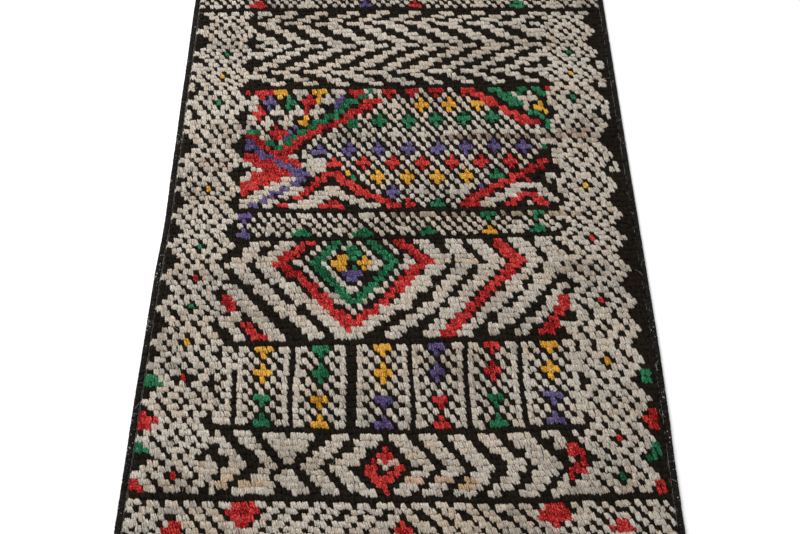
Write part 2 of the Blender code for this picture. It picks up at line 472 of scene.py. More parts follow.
# The columns of small motifs between black upright lines.
# One half of a column, from the line to its middle, a row of knots at a time:
# w cream, k black, a the upper motifs' yarn, b the lower motifs' yarn.
COLUMN_HALF = (
    "wwkaa", "wkwka", "wwkwk", "wkwka", "wwkaa", "wkwka", "wwkwk",
    "wkwkw", "wwkbb", "wkwkb", "wwkwk", "wkwkb", "wwkbb",
)
COLUMN_TOP = 75
# Columns: the motif's middle column, upper yarn, lower yarn.
COLUMNS = (
    (20, GOLD, GREEN),
    (30, GREEN, GOLD),
    (41, GOLD, VIOLET),
    (51, VIOLET, RED),
    (61, RED, GREEN),
    (71, GOLD, VIOLET),
)


# The last of another column, cut off by the left border: its knots from LEFT_COLUMN_START across,
# a row at a time, as above.
LEFT_COLUMN_START = 12
LEFT_COLUMN = (
    "kwwk", "kwkw", "kwwk", "wkww", "kwwk", "wkwk", "kwwk", "wkwk", "kwwk", "wkwk", "kwwk",
    "wwwk", "wwwk",
)


def columns_band():
    top = COLUMN_TOP + ROWS_ABOVE
    for step, letters in enumerate(LEFT_COLUMN):
        for place, letter in enumerate(letters):
            chart[top + step, LEFT_COLUMN_START + place] = YARN_LETTERS[letter]
    for middle, upper, lower in COLUMNS:
        yarns = {"w": CREAM, "k": BLACK, "a": upper, "b": lower}
        for step, half in enumerate(COLUMN_HALF):
            for place, letter in enumerate(half):
                for across in (middle - 4 + place, middle + 4 - place):
                    chart[top + step, across] = yarns[letter]


# The near chevrons. Columns: yarn, width, then places as (across, row).
CHEVRON_FIELD = (10, 77)
CHEVRON_STROKES = (
    (CREAM, 2.5, (13, 89.5), (14.5, 91.5), (17.9, 94.4), (13.3, 98.5)),
    (CREAM, 2.7, (17.6, 89.5), (20.7, 92.3), (23, 94.4), (21.3, 96.5)),
    (CREAM, 3, (34.5, 89.5), (31.5, 92.5), (29.1, 94.4), (33.7, 98.5)),
    (CREAM, 3.1, (40.1, 89.5), (37, 92.5), (34.5, 94.4), (39, 98.5)),
    (CREAM, 2.8, (44.5, 89.5), (49.8, 94.4), (45.5, 98.5)),
    (CREAM, 2.8, (49.2, 89.5), (54.5, 94.4), (50.8, 98.5)),
    (CREAM, 3.5, (54.6, 89.5), (59.6, 94.4), (56, 98.5)),
    (CREAM, 3, (59.6, 89.5), (65.1, 94.4), (61.1, 98.5)),
    (CREAM, 3.6, (65.2, 89.5), (70, 94.4), (66.5, 98.5)),
)
CHEVRON_MOTIFS = (
    (CREAM, (23, 89, 4), (28.4, 89, 4.2), (25.9, 90, 7.2, 5.7, 3, 1.5), (26.1, 95, 1.2, 3.3),
     (26.8, 97, 3.7), (28.2, 98, 3), (21, 97, 6, 7)),
    (RED, (42.5, 91, 1.6, 3.2), (42.2, 93, 5), (40, 94, 2), (44.7, 94, 2), (40.5, 95, 2),
     (44.2, 95, 1.6), (42.3, 96, 4, 1.8, 1), (74, 91, 1.4), (74.6, 92, 2.2), (75.4, 93, 1.3),
     (75.4, 94, 2.2), (74.4, 95, 3.2), (73.4, 96, 1.2)),
    (CREAM, (41.8, 93, 1), (43.8, 93, 1.5), (42.5, 94, 1), (70.6, 89, 2.8), (71.7, 90, 2.2),
     (72.2, 91, 1.7), (74.6, 89, 1.8), (76, 90, 2), (73.3, 93, 1.4), (72.1, 96, 0.9, 1.4),
     (75.2, 97, 2.2), (73.9, 98, 7.2), (12.7, 93, 1.4, 3.2, 2.8)),
)


def chevron_band():
    strokes(CHEVRON_STROKES)
    motifs(CHEVRON_MOTIFS, CHEVRON_FIELD)


def tie_pattern():
    diamond_border(LEFT_BORDER, LEFT_MIDDLE, LEFT_DIAMONDS, LEFT_DIAMOND_YARNS)
    diamond_border(RIGHT_BORDER, RIGHT_MIDDLE, RIGHT_DIAMONDS, RIGHT_DIAMOND_YARNS)
    motifs(LEFT_NOTCHES, WHOLE)
    motifs(RIGHT_NOTCHES, WHOLE)
    motifs(BORDER_MOTIFS, WHOLE)
    checks(FAR_CHECK_ROWS, FAR_CHECK_PARTS)
    motifs(FAR_CHECKS, WHOLE)
    herringbone()
    lattice_band()
    checks(FINE_CHECK_ROWS, FINE_CHECK_PARTS)
    motifs(FINE_CHECKS)
    wide_diamond()
    columns_band()
    chevron_band()
    slanting_checks(NEAR_CHECK_ROWS)
    motifs(NEAR_CHECKS, WHOLE)


# Patches where the cream yarn took the dye or the dirt differently.
# Columns: first row, last row, first column, last column, shade, tan, pink.
STAINS = (
    (50, 50, 42, 80, -0.9, 0.35, 0.10),
    (34, 34, 53, 76, -1.0, 0.10, 0.60),
    (33, 34, 77, 84, -0.2, 0.05, 0.45),
    (38, 40, 4, 10, -0.3, 0.10, 0.25),
    (60, 60, 51, 60, -0.2, 0.45, 0.00),
    (96, 96, 46, 48, 0.1, 0.45, 0.55),
    (96, 96, 50, 53, 0.1, 0.55, 0.40),
    (96, 97, 55, 57, 0.1, 0.95, 0.00),
    (96, 97, 14, 17, -0.1, 0.55, 0.00),
    (97, 97, 18, 22, -0.2, 0.70, 0.10),
    (28, 28, 70, 76, 0.0, 0.60, 0.00),
    (101, 106, 9, 16, 0.1, 0.25, 0.00),
    (101, 106, 46, 60, 0.2, 0.20, 0.00),
    (93, 93, 40, 45, 0.2, 0.00, 0.75),
)


# Laying the knots out on the rug.


def deselect():
    if bpy.context.object is not None and bpy.context.object.mode != "OBJECT":
        bpy.ops.object.mode_set(mode="OBJECT")
    bpy.ops.object.select_all(action="DESELECT")


def pile_side(side):
    """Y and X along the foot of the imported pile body's side, -1 left or 1 right."""
    corners = [v.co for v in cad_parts["rug_body"].data.vertices]
    foot = sorted({(round(c.y, 5), c.x) for c in corners if c.z < MM and c.x * side > 0})
    return [place[0] for place in foot], [place[1] for place in foot]


LEFT_SIDE = pile_side(-1)
RIGHT_SIDE = pile_side(1)
BODY_LOW, BODY_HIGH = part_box("rug_body")
PILE_TOP = BODY_HIGH.z
FAR_END = BODY_HIGH.y - HEM_LENGTH
NEAR_END = BODY_LOW.y + HEM_LENGTH

# The rug gives a little in its weave, so that no row or column of knots is quite straight.
# Columns: length of the wave across, length along, millimetres of it, start of the wave.
WANDER_ACROSS = ((0.41, 0.23, 1.3, 0.4), (0.17, 0.37, 0.7, 2.1), (0.83, 0.61, 1.4, 4.0))
WANDER_ALONG = ((0.29, 0.55, 1.2, 1.2), (0.12, 0.31, 0.8, 3.3), (0.67, 0.44, 1.0, 5.2))
# It grows from nothing at a side to its full size over one of this many parts of the width.
WANDER_PARTS = 30
ROW_UNEVENNESS = 0.05


def wander(table, x, y):
    total = np.zeros_like(x)
    for across, along, size, start in table:
        total += size * MM * np.sin(2 * math.pi * (x / across + y / along) + start)
    return total


def row_edges():
    """Distance from the far end of the pile to each edge between two rows."""
    heights = []
    for _, rows, height in BANDS:
        share = 1 + ROW_UNEVENNESS * rng.standard_normal(rows)
        heights.extend(height * MM * share / share.sum())
    edges = np.concatenate([[0.0], np.cumsum(heights)])
    return edges * (FAR_END - NEAR_END) / edges[-1]


def off_square(table, across, row):
    """Metres that a table of millimetres gives, at knots across and rows from the far end."""
    table = np.array(table, float)
    total = np.zeros_like(row, float)
    for column, weight in enumerate(np.eye(len(OFF_SQUARE_PLACES)), 1):
        share = np.interp(across, OFF_SQUARE_PLACES, weight)
        total += share * np.interp(row - ROWS_ABOVE, table[:, 0], table[:, column])
    return total * MM


def knot_places(across, row, edges):
    """X and Y on the rug of places given in knots across and in rows from the far end."""
    y = FAR_END - np.interp(row, np.arange(len(edges)), edges)
    share = (across + BARE_EDGES[0]) / (KNOTS_ACROSS + sum(BARE_EDGES))
    near = off_square(ROW_SLANTS, across, row)
    right = off_square(COLUMN_DRIFTS, across, row)
    ends = np.clip(np.minimum(row, ROW_COUNT - row) / ROWS_ABOVE, 0, 1)
    x_left = np.interp(y, *LEFT_SIDE)
    x = x_left + (np.interp(y, *RIGHT_SIDE) - x_left) * share
    inside = np.clip(np.minimum(share, 1 - share) * WANDER_PARTS, 0, 1)
    moved_x = x + (wander(WANDER_ACROSS, x, y) + right) * inside * ends
    moved_y = y - near * ends + wander(WANDER_ALONG, x, y) * ends
    return moved_x, moved_y


# The tip of one strand of yarn.

TIP_SIDES = 4
TIP_ROOT_RADIUS = 0.0011
# Columns: step towards the near end, step up, lean from upright in degrees, radius.
TIP_BENDS = ((0.0050, 0.0046, 72, 0.0016), (0.0094, 0.0012, 86, 0.0020))
# Steps towards the near end and up from the last bend to the point.
TIP_END = (0.0020, -0.0018)
# Share of its height that the yarn's section keeps at each bend.
TIP_SQUASH = 0.72


def model_tip():
    """Extrudes one yarn tip from its root, up and over towards the near end."""
    deselect()
    bpy.ops.mesh.primitive_circle_add(vertices=TIP_SIDES, radius=TIP_ROOT_RADIUS)
    tip = bpy.context.object
    tip.name = "yarn_tip"
    bpy.ops.object.mode_set(mode="EDIT")
    bpy.ops.mesh.select_all(action="SELECT")
    centre = Vector((0, 0, 0))
    lean = 0
    radius = TIP_ROOT_RADIUS
    for step, rise, new_lean, new_radius in TIP_BENDS:
        move = Vector((0, -step, rise))
        bpy.ops.mesh.extrude_region_move(TRANSFORM_OT_translate={"value": move})
        centre += move
        turn = -math.radians(new_lean - lean)
        bpy.ops.transform.rotate(value=turn, orient_axis="X", center_override=centre)
        growth = new_radius / radius
        size = (growth, growth, growth * TIP_SQUASH)
        bpy.ops.transform.resize(value=size, center_override=centre)
        lean = new_lean
        radius = new_radius
    move = Vector((0, -TIP_END[0], TIP_END[1]))
    bpy.ops.mesh.extrude_region_move(TRANSFORM_OT_translate={"value": move})
    bpy.ops.mesh.merge(type="CENTER")
    bpy.ops.mesh.select_all(action="SELECT")
    bpy.ops.mesh.normals_make_consistent(inside=False)
    bpy.ops.object.mode_set(mode="OBJECT")
    return tip


def mesh_arrays(thing):
    """A mesh's points, its faces' corners one after another, and each face's corner count."""
    data = thing.data
    points = np.empty(len(data.vertices) * 3)
    data.vertices.foreach_get("co", points)
    corners = np.empty(len(data.loops), int)
    data.loops.foreach_get("vertex_index", corners)
    counts = np.empty(len(data.polygons), int)
    data.polygons.foreach_get("loop_total", counts)
    return points.reshape(-1, 3), corners, counts


def joined_copies(name, points, corners, counts):
    """One mesh of many copies: points has a copy to a row, and the faces repeat."""
    copies, per_copy = points.shape[0], points.shape[1]
    all_corners = (corners[None, :] + np.arange(copies)[:, None] * per_copy).ravel()
    all_counts = np.tile(counts, copies)
    data = bpy.data.meshes.new(name)
    data.vertices.add(copies * per_copy)
    data.vertices.foreach_set("co", points.ravel())
    data.loops.add(len(all_corners))
    data.loops.foreach_set("vertex_index", all_corners)
    data.polygons.add(len(all_counts))
    starts = np.concatenate([[0], np.cumsum(all_counts)[:-1]])
    data.polygons.foreach_set("loop_start", starts)
    data.polygons.foreach_set("loop_total", all_counts)
    data.update(calc_edges=True)
    data.shade_smooth()
    thing = bpy.data.objects.new(name, data)
    bpy.context.scene.collection.objects.link(thing)
    return thing


def add_attribute(thing, name, values, kind="FLOAT_VECTOR"):
    made = thing.data.attributes.new(name, kind, "POINT")
    field = "value" if kind == "FLOAT" else "vector"
    made.data.foreach_set(field, np.ascontiguousarray(values, np.float32).ravel())


def tube_faces(rings, sides, closed):
    """Four-sided faces of a tube whose points come ring by ring."""
    last = rings if closed else rings - 1
    ring, side = np.indices((last, sides)).reshape(2, -1)
    next_ring, next_side = (ring + 1) % rings, (side + 1) % sides
    here, there = ring * sides, next_ring * sides
    return np.stack([here + side, here + next_side, there + next_side, there + side], axis=1)


# The strands of a knot, which mingle into one tuft; black yarn is coarser.
# Columns, in shares of the knot's size: root's place across, end's place across, reach.
STRANDS = (
    (-0.20, -0.35, 0.93),
    (-0.10, -0.18, 1.03),
    (0.00, 0.00, 1.09),
    (0.10, 0.18, 1.05),
    (0.20, 0.36, 0.95),
)
BLACK_STRANDS = ((-0.18, -0.20, 1.00), (0.10, 0.36, 1.00))
# Where strands start back from a knot's middle and end in front of it, in knots' heights.
ROOT_BACK = 0.93
END_REACH = 0.58
ROOT_DEPTH = 0.4 * MM
# How far tips lean to the right between root and end, in knots: at the left side, at the right.
LEAN = (0.56, 0.42)
LEAN_AT_ROOT = 0.65
LEAN_AT_END = 0.35
# Share by which a knot spreads for each neighbour in its row of the same yarn.
SPREAD_WITH_NEIGHBOUR = 0.17
# The black yarn was dyed with iron, which wears wool shorter. Shares of the others' size.
BLACK_REACH = 0.86
BLACK_HEIGHT = 0.76
BLACK_THICKNESS = 2.0
# Width of the yarn's section: its share of the tip's in a knot of the usual width.
TIP_FLATTENED = 1.18
USUAL_KNOT_WIDTH = 0.01136
THICKNESS_SPREAD = 0.10
HEIGHT_SPREAD = 0.07
# Millimetres by which strands stray: all those of a knot together, and each by itself.
ROOT_STRAY_ACROSS, ROOT_STRAY_ALONG = (0.6, 0.4), (0.9, 0.8)
END_STRAY_ACROSS, END_STRAY_ALONG = (1.1, 0.9), (1.4, 1.5)
# How far the points at a tip's end stray.
POINT_STRAY_ACROSS, POINT_STRAY_UP, POINT_STRAY_ALONG = 0.25 * MM, 0.20 * MM, 0.35 * MM
# Unevenness of the yarns' colours. Columns of the waves: size, per metre across, per row.
SHADE_WAVES = ((0.25, 9, 0.21), (0.2, 23, -0.37))
TAN_WAVE = (0.10, 6, 0.5)
ROW_SHADE, KNOT_SHADE, STRAND_SHADE = 0.16, 0.24, 0.20
TAN_MEAN, TAN_SPREAD = 0.10, 0.10
PINK_MEAN, PINK_SPREAD = 0.03, 0.07
STAIN_WEAR = (0.75, 1.15)
# Each strand takes its fibres from somewhere else in the pattern of fibres, this wide.
FIBRE_RANGE = 400
PILE_STRIPS = ("far", "middle", "near")


class Knots:
    """Every knot's place, yarn, spread and tint, worked out once."""

    def __init__(self):
        edges = row_edges()
        row, across = np.indices((ROW_COUNT, KNOTS_ACROSS))
        self.row, self.across = row.ravel(), across.ravel()
        middle_x, middle_y = knot_places(self.across + 0.5, self.row + 0.5, edges)
        right_x, _ = knot_places(self.across + 1.0, self.row + 0.5, edges)
        _, near_y = knot_places(self.across + 0.5, self.row + 1.0, edges)
        self.x, self.y = middle_x, middle_y
        self.width = 2 * (right_x - middle_x)
        self.height = 2 * (middle_y - near_y)
        self.yarn = chart.ravel()
        self.spread = self.make_spread()
        self.tint = self.make_tint()
        self.edges = edges

    def make_spread(self):
        """How far a knot's strands spread: more beside a neighbour of their yarn."""
        alike = chart[:, 1:] == chart[:, :-1]
        company = np.zeros(chart.shape)
        company[:, 1:] += alike
        company[:, :-1] += alike
        return (1 + SPREAD_WITH_NEIGHBOUR * company).ravel()

    def wave(self, size, across, along):
        return size * np.sin(self.x * across + (self.row - ROWS_ABOVE) * along)

    def make_tint(self):
        """Shade, tan and pink of each knot."""
        count = len(self.row)
        row = self.row - ROWS_ABOVE
        by_row = rng.normal(0, ROW_SHADE, ROW_COUNT)[self.row]
        slow = sum(self.wave(*wave) for wave in SHADE_WAVES)
        shade = by_row + slow + rng.normal(0, KNOT_SHADE, count)
        tan = TAN_MEAN + self.wave(*TAN_WAVE) + rng.normal(0, TAN_SPREAD, count)
        pink = rng.normal(PINK_MEAN, PINK_SPREAD, count)
        tan, pink = np.clip(tan, 0, 1), np.clip(pink, 0, 1)
        for first, last, left, right, *more in STAINS:
            there = (row >= first) & (row <= last) & (self.across >= left) & (self.across <= right)
            there &= self.yarn == CREAM
            wear = rng.uniform(*STAIN_WEAR, there.sum())
            for part, extra in zip((shade, tan, pink), more):
                part[there] += extra * wear
        return np.stack([shade, tan, pink], axis=1)


def stray(knot_count, strands, of_knot, of_strand):
    """How far strands stray: all those of a knot together, and each by itself."""
    together = np.repeat(rng.normal(0, of_knot, knot_count), strands)
    return (together + rng.normal(0, of_strand, knot_count * strands)) * MM


def stand_tips(name, knots, chosen, tip, strands):
    """The strands of each chosen knot, joined in one mesh."""
    points, corners, counts = mesh_arrays(tip)
    along = points[:, 1] / points[:, 1].min()
    knot = np.flatnonzero(chosen)
    shape = (len(knot), len(strands))
    picked = np.repeat(knot, len(strands))
    count = len(picked)
    root_share, end_share, reach_share = (np.tile(column, len(knot)) for column in zip(*strands))
    wide, high = knots.width[picked], knots.height[picked]
    lean = np.interp(knots.across[picked], WHOLE, LEAN)
    worn = knots.yarn[picked] == BLACK
    root_share = root_share * knots.spread[picked] - lean * LEAN_AT_ROOT
    end_share = end_share * knots.spread[picked] + lean * LEAN_AT_END
    end_reach = END_REACH * reach_share * np.where(worn, BLACK_REACH, 1.0)
    root_x = knots.x[picked] + root_share * wide + stray(*shape, *ROOT_STRAY_ACROSS)
    root_y = knots.y[picked] + ROOT_BACK * high + stray(*shape, *ROOT_STRAY_ALONG)
    end_x = knots.x[picked] + end_share * wide + stray(*shape, *END_STRAY_ACROSS)
    end_y = knots.y[picked] - end_reach * high + stray(*shape, *END_STRAY_ALONG)
    way = np.stack([end_x - root_x, end_y - root_y], axis=1)
    length = np.linalg.norm(way, axis=1)
    way /= length[:, None]
    thick = rng.normal(1.0, THICKNESS_SPREAD, count) * TIP_FLATTENED * wide / USUAL_KNOT_WIDTH
    thick *= np.where(worn, BLACK_THICKNESS, 1.0)
    tall = rng.normal(1.0, HEIGHT_SPREAD, count) * np.where(worn, BLACK_HEIGHT, 1.0)
    size = (count, len(points))
    local_x = points[:, 0] * thick[:, None] + rng.normal(0, POINT_STRAY_ACROSS, size) * along
    local_z = points[:, 2] * tall[:, None] + rng.normal(0, POINT_STRAY_UP, size) * along
    local_y = along * length[:, None] + rng.normal(0, POINT_STRAY_ALONG, size) * along
    x = root_x[:, None] + local_y * way[:, None, 0] - local_x * way[:, None, 1]
    y = root_y[:, None] + local_y * way[:, None, 1] + local_x * way[:, None, 0]
    z = FOUNDATION_THICKNESS - ROOT_DEPTH + local_z
    pile = joined_copies(name, np.stack([x, y, z], axis=2), corners, counts)
    fibres = points[:, [0, 2, 1]] / MM + rng.uniform(0, FIBRE_RANGE, (count, 1, 3))
    tint = np.repeat(knots.tint[picked][:, None, :], len(points), axis=1)
    tint[:, :, 0] += rng.normal(0, STRAND_SHADE, count)[:, None]
    add_attribute(pile, "along", np.tile(along, count), "FLOAT")
    add_attribute(pile, "fibres", fibres)
    add_attribute(pile, "tint", tint)
    return pile


# Node groups. Each is built once and placed in the materials that use it.

FLOAT, VECTOR, COLOUR = "NodeSocketFloat", "NodeSocketVector", "NodeSocketColor"


def new_group(name, inputs, outputs):
    group = bpy.data.node_groups.new(name, "ShaderNodeTree")
    for socket, kind, value in inputs:
        made = group.interface.new_socket(name=socket, in_out="INPUT", socket_type=kind)
        if value is not None:
            made.default_value = value
    for socket, kind in outputs:
        group.interface.new_socket(name=socket, in_out="OUTPUT", socket_type=kind)
    entry = group.nodes.new("NodeGroupInput")
    leave = group.nodes.new("NodeGroupOutput")
    entry.location = (-900, 0)
    leave.location = (600, 0)
    return group, entry.outputs, leave.inputs


def feed(tree, socket, value):
    """Gives a socket a number, a colour or another node's output."""
    if isinstance(value, (int, float)):
        socket.default_value = value
    elif isinstance(value, tuple):
        socket.default_value = (*value, 1.0)[: len(socket.default_value)]
    elif value is not None:
        tree.links.new(value, socket)


def math_node(tree, operation, first, second=None, third=None, clamp=False):
    node = tree.nodes.new("ShaderNodeMath")
    node.operation = operation
    node.use_clamp = clamp
    for socket, value in zip(node.inputs, (first, second, third)):
        feed(tree, socket, value)
    return node.outputs[0]


def mix_node(tree, blend, factor, first, second):
    node = tree.nodes.new("ShaderNodeMix")
    node.data_type = "RGBA"
    node.blend_type = blend
    node.clamp_factor = True
    for socket, value in ((0, factor), (6, first), (7, second)):
        feed(tree, node.inputs[socket], value)
    return node.outputs[2]


def add_node(tree, kind, **inputs):
    node = tree.nodes.new("ShaderNode" + kind)
    for name, value in inputs.items():
        feed(tree, node.inputs[name.replace("_", " ")], value)
    return node


def stretch_node(tree, place, fineness):
    return add_node(tree, "Mapping", Vector=place, Scale=fineness).outputs["Vector"]


def noise_node(tree, place, fineness, detail=1.0, roughness=0.5):
    """Noise at a place, as fine in each direction as fineness says."""
    place = stretch_node(tree, place, fineness)
    noise = add_node(tree, "TexNoise", Vector=place, Scale=1.0, Detail=detail, Roughness=roughness)
    return noise.outputs["Fac"]


def range_node(tree, value, low, high, new_low=0.0, new_high=1.0):
    node = tree.nodes.new("ShaderNodeMapRange")
    for socket, number in zip(node.inputs[1:5], (low, high, new_low, new_high)):
        socket.default_value = number
    tree.links.new(value, node.inputs[0])
    return node.outputs[0]


# Fineness of the fibres, plies and clumps of the yarn: per millimetre across it, up, and along.
FIBRE_FINENESS = (3.2, 3.2, 0.45)
PLY_FINENESS = (0.75, 0.75, 0.30)
CLUMP_FINENESS = (0.42, 0.42, 0.34)
FIBRE_DEPTH = 0.45


def make_fibre_group():
    """Fine fibres drawn out along the yarn, and the twist of its plies, from millimetre places."""
    group, given, made = new_group(
        "wool_fibres",
        (("Fibre Place", VECTOR, None), ("Twist", FLOAT, 1.0)),
        (("Height", FLOAT), ("Fibre Mask", FLOAT), ("Clump Mask", FLOAT)),
    )
    calc = partial(math_node, group)
    place = given["Fibre Place"]
    fine = noise_node(group, place, FIBRE_FINENESS, 3.0, 0.6)
    twisted = calc("MULTIPLY", noise_node(group, place, PLY_FINENESS), given["Twist"])
    # The clumps' mask, on which the tone group paints light and shade.
    clump = noise_node(group, place, CLUMP_FINENESS)
    group.links.new(calc("MULTIPLY_ADD", fine, FIBRE_DEPTH, twisted), made["Height"])
    group.links.new(range_node(group, fine, 0.35, 0.68), made["Fibre Mask"])
    group.links.new(range_node(group, clump, 0.38, 0.68), made["Clump Mask"])
    return group


# How far a knot's shade, its fibres, its clumps and its cut end bring on the lit fibres' colour;
# from the fibres, the clumps and the cut end it is a painted highlight.
LIT_BY_SHADE, LIT_BY_FIBRES, LIT_BY_CLUMPS, LIT_AT_END = 0.30, 0.12, 0.90, 0.14
CLUMP_POWER = 2.6
# Shares of the way along a tip: where the painted highlight on its cut end starts and is full, and
# where the painted shade at its root ends.
CUT_END = (0.70, 0.98)
ROOT_END = 0.36
TAN_STAIN, PINK_STAIN = (1.0, 0.74, 0.46), (1.0, 0.66, 0.60)
STAIN_STRENGTH = 0.9
DARK_SHADE = 0.35
DRY, SLEEK = 0.95, 0.82


def make_tone_group():
    """A yarn's colour from its own shade, its stains and how far along the tip it is, with painted
    shade towards the root and between clumps, and painted highlights on fibres, clumps and cut
    ends.
    """
    group, given, made = new_group(
        "wool_tone",
        (
            ("Yarn", COLOUR, None),
            ("Lit Fibres", COLOUR, None),
            ("Tint", VECTOR, None),
            ("Along", FLOAT, 1.0),
            ("Fibre Mask", FLOAT, 0.5),
            ("Clump Mask", FLOAT, 0.5),
            ("Clump Light", FLOAT, 0.28),
            ("Root Shade", FLOAT, 0.64),
        ),
        (("Colour", COLOUR), ("Roughness", FLOAT)),
    )
    calc = partial(math_node, group)
    shade, tan, pink = add_node(group, "SeparateXYZ", Vector=given["Tint"]).outputs
    # Share of the lit colour: the knot's own shade, then painted highlights on its fibres, its
    # clumps and its cut end.
    lift = calc("MULTIPLY", shade, LIT_BY_SHADE)
    lift = calc("MULTIPLY_ADD", given["Fibre Mask"], LIT_BY_FIBRES, lift)
    clumps = calc("POWER", given["Clump Mask"], CLUMP_POWER)
    lift = calc("MULTIPLY_ADD", clumps, LIT_BY_CLUMPS, lift)
    # Painted highlight on the cut end of each tip.
    cut_end_highlight = range_node(group, given["Along"], *CUT_END, 0.0, LIT_AT_END)
    lift = calc("ADD", lift, cut_end_highlight, clamp=True)
    colour = mix_node(group, "MIX", lift, given["Yarn"], given["Lit Fibres"])
    for amount, stain in ((tan, TAN_STAIN), (pink, PINK_STAIN)):
        share = calc("MULTIPLY", amount, STAIN_STRENGTH, clamp=True)
        colour = mix_node(group, "MULTIPLY", share, colour, stain)
    dark = calc("MINIMUM", shade, 0.0)
    dim = calc("MULTIPLY_ADD", dark, DARK_SHADE, 1.0, clamp=True)
    # Painted shade towards the root, where the row above covers it, with a little of the wool's
    # own darker root.
    root = range_node(group, given["Along"], 0.0, ROOT_END)
    keep = calc("SUBTRACT", 1.0, given["Root Shade"])
    root = calc("MULTIPLY_ADD", root, keep, given["Root Shade"])
    value = calc("MULTIPLY", root, dim)
    # Painted light and shade: the fibre clumps lighter, the hollows between them darker.
    clump_hollow_shade = calc("SUBTRACT", 1.0, given["Clump Light"])
    lump = calc("MULTIPLY_ADD", given["Clump Mask"], given["Clump Light"], clump_hollow_shade)
    scaled = group.nodes.new("ShaderNodeVectorMath")
    scaled.operation = "SCALE"
    group.links.new(colour, scaled.inputs[0])
    group.links.new(calc("MULTIPLY", value, lump), scaled.inputs["Scale"])
    group.links.new(scaled.outputs[0], made["Colour"])
    roughness = range_node(group, given["Fibre Mask"], 0.0, 1.0, DRY, SLEEK)
    group.links.new(roughness, made["Roughness"])
    return group


def make_weave_group():
    """Ribs of the flat-woven hems and the rows of knot backs underneath, from places in knots."""
    group, given, made = new_group(
        "wool_weave",
        (("Knot Place", VECTOR, None), ("Across", FLOAT, 2.0), ("Along", FLOAT, 1.0)),
        (("Height", FLOAT), ("Mask", FLOAT)),
    )
    calc = partial(math_node, group)
    parts = add_node(group, "SeparateXYZ", Vector=given["Knot Place"]).outputs
    ribs = []
    for part, count in zip(parts, (given["Across"], given["Along"])):
        turns = calc("MULTIPLY", part, count)
        wave = calc("SINE", calc("MULTIPLY", turns, math.pi))
        ribs.append(calc("ABSOLUTE", wave))
    height = calc("POWER", calc("MULTIPLY", *ribs), 0.6)
    group.links.new(height, made["Height"])
    group.links.new(range_node(group, height, 0.15, 0.7), made["Mask"])
    return group


# Specks of the worn edge and the patches that they gather in: how many there are per metre.
SPECK_FINENESS = (320.0, 210.0, 320.0)
PATCH_FINENESS = (26.0, 26.0, 26.0)
PATCH_WEIGHT = 0.30
SPECK_SHARPNESS = 16.0


def make_fleck_group():
    """Pale specks where the wound edge is worn through to its cords."""
    group, given, made = new_group(
        "edge_flecks", (("Place", VECTOR, None), ("Amount", FLOAT, 0.64)), (("Mask", FLOAT),)
    )
    calc = partial(math_node, group)
    speck = noise_node(group, given["Place"], SPECK_FINENESS)
    patch = noise_node(group, given["Place"], PATCH_FINENESS)
    both = calc("MULTIPLY_ADD", patch, PATCH_WEIGHT, speck)
    over = calc("SUBTRACT", both, given["Amount"])
    group.links.new(calc("MULTIPLY", over, SPECK_SHARPNESS, clamp=True), made["Mask"])
    return group


def attribute(tree, name, output="Vector"):
    node = tree.nodes.new("ShaderNodeAttribute")
    node.attribute_type = "GEOMETRY"
    node.attribute_name = name
    return node.outputs[output]


def object_place(tree):
    return tree.nodes.new("ShaderNodeTexCoord").outputs["Object"]


def group_node(tree, group, **values):
    """Places a group in a material, with its inputs given by name."""
    node = tree.nodes.new("ShaderNodeGroup")
    node.node_tree = group
    for name, value in values.items():
        feed(tree, node.inputs[name.replace("_", " ")], value)
    return node.outputs


# Materials.

YARN_RELIEF = 0.0006
# The wound edge's yarn, and the painted highlight colour of its lit fibres.
EDGE_YARN, EDGE_LIT = (0.0065, 0.0055, 0.0045), (0.022, 0.019, 0.016)
EDGE_FLECK = (0.42, 0.40, 0.37)
FLECK_AMOUNT = 0.87
GROUND = (0.035, 0.028, 0.022)
GROUND_FUZZ = (1600.0, 1600.0, 1600.0)
BLACK_BACKS = (0.05, 0.042, 0.034)
HAIR_FINENESS = (900.0, 900.0, 900.0)
HAIR_DARK, HAIR_PALE = (0.44, 0.40, 0.34), (0.70, 0.65, 0.58)
FLOOR_TONES = (0.93, 0.93, 0.925), (0.95, 0.95, 0.95)


def new_material(name, sheen, sheen_tint):
    material = bpy.data.materials.new(name)
    material.use_nodes = True
    tree = material.node_tree
    shader = tree.nodes["Principled BSDF"]
    shader.inputs["Specular IOR Level"].default_value = 0.10
    shader.inputs["Sheen Weight"].default_value = sheen
    shader.inputs["Sheen Roughness"].default_value = 0.45
    shader.inputs["Sheen Tint"].default_value = (*sheen_tint, 1.0)
    return material, tree, shader


def surface(tree, shader, colour, roughness):
    feed(tree, shader.inputs["Base Color"], colour)
    feed(tree, shader.inputs["Roughness"], roughness)


def bump(tree, shader, height, distance, strength):
    node = add_node(tree, "Bump", Height=height, Distance=distance, Strength=strength)
    tree.links.new(node.outputs["Normal"], shader.inputs["Normal"])


def wool(tree, groups, yarn, lit, **more):
    """The outputs of the fibre group and of the tone group, placed in a yarn's material."""
    fibres = group_node(tree, groups["fibres"], Fibre_Place=attribute(tree, "fibres"))
    masks = {"Fibre_Mask": fibres["Fibre Mask"], "Clump_Mask": fibres["Clump Mask"]}
    tint = attribute(tree, "tint")
    return fibres, group_node(
        tree, groups["tone"], Yarn=yarn, Lit_Fibres=lit, Tint=tint, **masks, **more
    )


def pile_material(name, colour, lit, groups):
    """Wool of the pile in one yarn's colour."""
    material, tree, shader = new_material("pile_" + name, 0.06, lit)
    fibres, tone = wool(tree, groups, colour, lit, Along=attribute(tree, "along", "Fac"))
    surface(tree, shader, tone["Colour"], tone["Roughness"])
    bump(tree, shader, fibres["Height"], YARN_RELIEF, 0.65)
    return material


